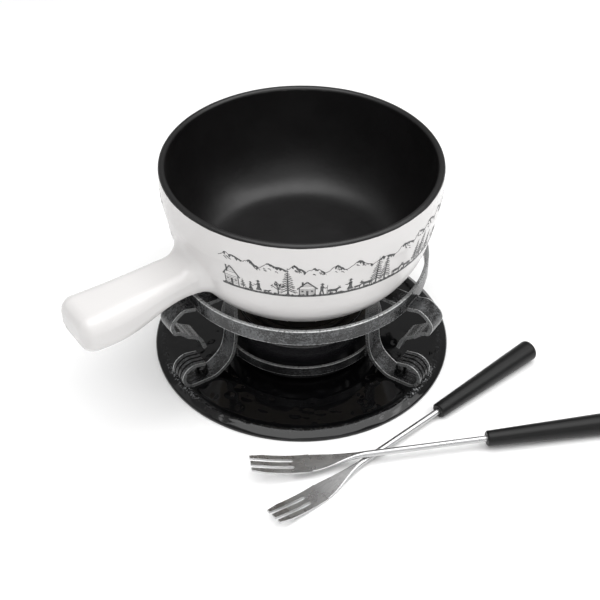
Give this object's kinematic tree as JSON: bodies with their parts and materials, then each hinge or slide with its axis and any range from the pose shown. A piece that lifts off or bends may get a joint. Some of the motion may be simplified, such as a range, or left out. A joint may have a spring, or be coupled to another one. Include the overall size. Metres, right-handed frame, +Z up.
{
  "type": "fondue pot set",
  "caption": "Ceramic fondue pot with a side handle on a scrolled metal stand with a round base plate, a paste burner with a regulator, and fondue forks.",
  "frame": {"origin": "centre of the stand's underside, on the table", "axes": "+Z up along the axis of the stand, pot and burner; +Y towards the rear leg; the pot's handle points to -X -Y"},
  "size_m": [0.4288, 0.3386, 0.1828],
  "materials": {
    "black_enamel": "gloss black enamel over hammered sheet",
    "felt": "adhesive felt",
    "worn_enamel": "black enamel brushed through to pewter grey",
    "dark_steel": "blackened steel",
    "black_gloss_steel": "gloss black",
    "glazed_ceramic": "white gloss glaze outside, satin black glaze inside and on the rim",
    "drum_enamel": "satin black enamel",
    "pan_steel": "satin",
    "wadding": "mineral wool",
    "gauze": "woven wire",
    "top_enamel": "satin black with a worn bead",
    "regulator_steel": "blackened steel",
    "rivet_steel": "bright",
    "lever_steel": "satin",
    "knob_plastic": "matte black",
    "fork_steel": "brushed along its length",
    "fork_grip": "satin black"
  },
  "bodies": {
    "stand": {"base_plate": "black_enamel", "base_felt": "felt", "leg_left": "worn_enamel", "leg_right": "worn_enamel", "leg_rear": "worn_enamel", "scroll_left": "worn_enamel", "scroll_right": "worn_enamel", "scroll_rear": "worn_enamel", "pot_ring": "worn_enamel", "burner_ring": "worn_enamel", "base_bolts": "dark_steel", "dome_nuts": "black_gloss_steel"},
    "pot": {"pot": "glazed_ceramic"},
    "burner": {"burner_drum": "drum_enamel", "fuel_pan": "pan_steel", "fuel_wadding": "wadding", "wadding_gauze": "gauze", "burner_top": "top_enamel", "pivot_rivet": "rivet_steel"},
    "regulator": {"regulator_plate": "regulator_steel", "regulator_lever": "lever_steel", "lever_rivets": "rivet_steel", "lever_knob": "knob_plastic"},
    "fork_1": {"fork_1_shaft": "fork_steel", "fork_1_handle": "fork_grip"},
    "fork_2": {"fork_2_shaft": "fork_steel", "fork_2_handle": "fork_grip"}
  },
  "joints": [
    {"name": "pot_lift", "type": "slide", "parent": "stand", "child": "pot", "axis": [0, 0, 1], "range_m": [0, 0.14]},
    {"name": "burner_lift", "type": "slide", "parent": "stand", "child": "burner", "axis": [0, 0, 1], "range_m": [0, 0.028]},
    {"name": "regulator_turn", "type": "hinge", "parent": "burner", "child": "regulator", "pos_m": [0, 0, 0.047], "axis": [0, 0, 1], "range_deg": [0, 30]},
    {"name": "fork_1_lift", "type": "slide", "parent": "stand", "child": "fork_1", "axis": [0, 0, 1], "range_m": [0, 0.14]},
    {"name": "fork_2_lift", "type": "slide", "parent": "fork_1", "child": "fork_2", "axis": [0, 0, 1], "range_m": [0, 0.14]}
  ]
}
